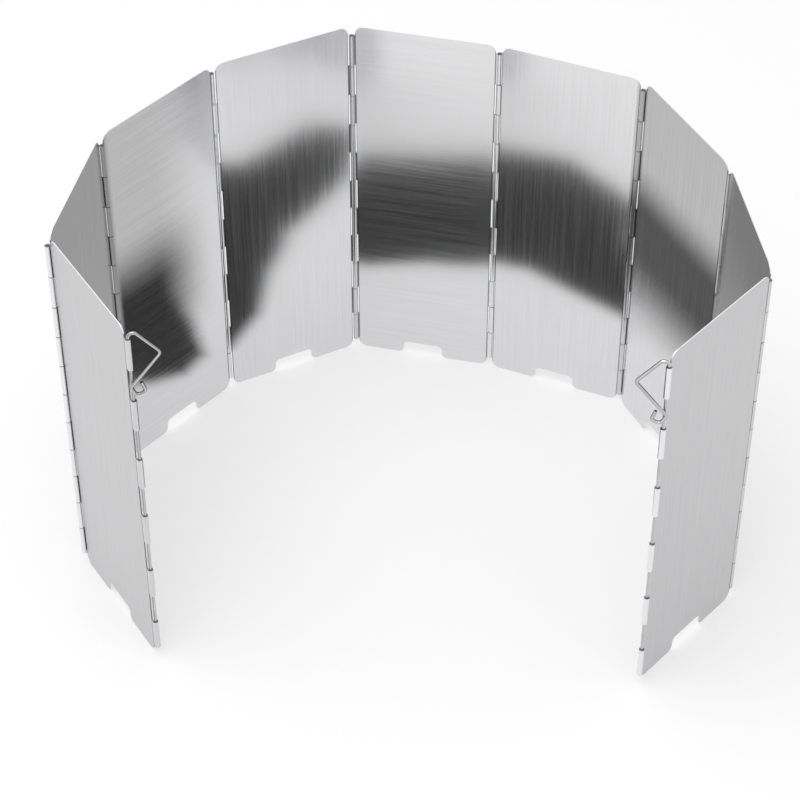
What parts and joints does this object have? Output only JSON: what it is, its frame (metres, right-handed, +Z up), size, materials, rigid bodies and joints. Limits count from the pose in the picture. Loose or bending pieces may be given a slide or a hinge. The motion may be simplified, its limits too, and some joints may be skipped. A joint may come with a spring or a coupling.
{
  "type": "stove windscreen",
  "caption": "Folding stove windscreen of hinged aluminium panels standing in an open ring, with vent notches at the foot and a wire stake with a triangular handle in each free edge.",
  "frame": {"origin": "middle of the standing ring's footprint, on the surface that it stands on", "axes": "+Z up, +X to the right seen from the open side, +Y to the back of the ring; it opens towards -Y"},
  "size_m": [0.3668, 0.2751, 0.24],
  "materials": {
    "sheet": "fine brushed, upright grain",
    "pin": "drawn wire",
    "stake": "bright drawn wire"
  },
  "bodies": {
    "panel_1": {"panel_1": "sheet", "hinge_pin_1": "pin"},
    "panel_2": {"panel_2": "sheet"},
    "panel_3": {"panel_3": "sheet", "hinge_pin_2": "pin", "hinge_pin_3": "pin"},
    "panel_4": {"panel_4": "sheet"},
    "panel_5": {"panel_5": "sheet", "hinge_pin_4": "pin", "hinge_pin_5": "pin"},
    "panel_6": {"panel_6": "sheet"},
    "panel_7": {"panel_7": "sheet", "hinge_pin_6": "pin", "hinge_pin_7": "pin"},
    "panel_8": {"panel_8": "sheet"},
    "panel_9": {"panel_9": "sheet", "hinge_pin_8": "pin"},
    "left_stake": {"left_stake": "stake"},
    "right_stake": {"right_stake": "stake"}
  },
  "joints": [
    {"name": "fold", "type": "hinge", "parent": "panel_5", "child": "panel_4", "pos_m": [-0.02998, 0.13525, 0.12], "axis": [0, 0, 1], "range_deg": [0, 141]},
    {"name": "hinge_3", "type": "hinge", "parent": "panel_4", "child": "panel_3", "pos_m": [-0.10631, 0.10014, 0.12], "axis": [0, 0, -1], "range_deg": [0, 202]},
    {"name": "hinge_2", "type": "hinge", "parent": "panel_3", "child": "panel_2", "pos_m": [-0.1611, 0.03644, 0.12], "axis": [0, 0, 1], "range_deg": [0, 151]},
    {"name": "hinge_1", "type": "hinge", "parent": "panel_2", "child": "panel_1", "pos_m": [-0.18185, -0.04498, 0.12], "axis": [0, 0, -1], "range_deg": [0, 225]},
    {"name": "hinge_5", "type": "hinge", "parent": "panel_5", "child": "panel_6", "pos_m": [0.0523, 0.11821, 0.12], "axis": [0, 0, 1], "range_deg": [0, 189]},
    {"name": "hinge_6", "type": "hinge", "parent": "panel_6", "child": "panel_7", "pos_m": [0.12947, 0.08498, 0.12], "axis": [0, 0, -1], "range_deg": [0, 140]},
    {"name": "hinge_7", "type": "hinge", "parent": "panel_7", "child": "panel_8", "pos_m": [0.17058, 0.01171, 0.12], "axis": [0, 0, 1], "range_deg": [0, 199]},
    {"name": "hinge_8", "type": "hinge", "parent": "panel_8", "child": "panel_9", "pos_m": [0.18185, -0.07156, 0.12], "axis": [0, 0, -1], "range_deg": [0, 129]},
    {"name": "left_stake_swivel", "type": "hinge", "parent": "panel_1", "child": "left_stake", "pos_m": [-0.13572, -0.11521, 0.12], "axis": [0, 0, 1], "range_deg": [-10, 95]},
    {"name": "right_stake_swivel", "type": "hinge", "parent": "panel_9", "child": "right_stake", "pos_m": [0.12705, -0.13525, 0.12], "axis": [0, 0, 1], "range_deg": [0, 120]}
  ],
  "couplings": [
    {"joint": "hinge_3", "follows": "fold", "ratio": 1.4326},
    {"joint": "hinge_2", "follows": "fold", "ratio": 1.0709},
    {"joint": "hinge_1", "follows": "fold", "ratio": 1.5957},
    {"joint": "hinge_5", "follows": "fold", "ratio": 1.3404},
    {"joint": "hinge_6", "follows": "fold", "ratio": 0.9929},
    {"joint": "hinge_7", "follows": "fold", "ratio": 1.4113},
    {"joint": "hinge_8", "follows": "fold", "ratio": 0.91489}
  ]
}
